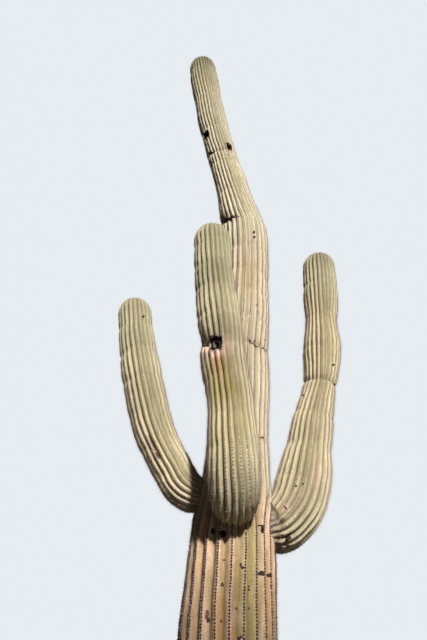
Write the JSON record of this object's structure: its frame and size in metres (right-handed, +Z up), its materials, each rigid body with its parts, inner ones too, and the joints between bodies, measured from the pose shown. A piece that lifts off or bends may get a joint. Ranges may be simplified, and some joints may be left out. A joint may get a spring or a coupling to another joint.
{
  "type": "saguaro cactus",
  "caption": "Tall ribbed columnar cactus, rooted in the ground, with a leaning tapered trunk and upturned arms that come forward, left and right.",
  "frame": {"origin": "middle of the flat cut under the trunk, at ground level", "axes": "+Z up along the plant's height, -Y towards the viewer and the forward arm, +X to the viewer's right"},
  "size_m": [1.9339, 1.1213, 8.4482],
  "materials": {
    "trunk_skin": "waxy matte hide, tan and weathered towards the foot",
    "arm_skin": "waxy matte hide, pale yellow-green",
    "spine": "dry matte spines and felt pads",
    "cork": "dry rough cork on scars and folds"
  },
  "bodies": {
    "root": {"trunk": "trunk_skin", "left_arm_elbow": "arm_skin", "left_arm_upright": "arm_skin", "front_arm_elbow": "arm_skin", "front_arm_upright": "arm_skin", "right_arm_elbow": "arm_skin", "right_arm_upright": "arm_skin"}
  },
  "joints": []
}
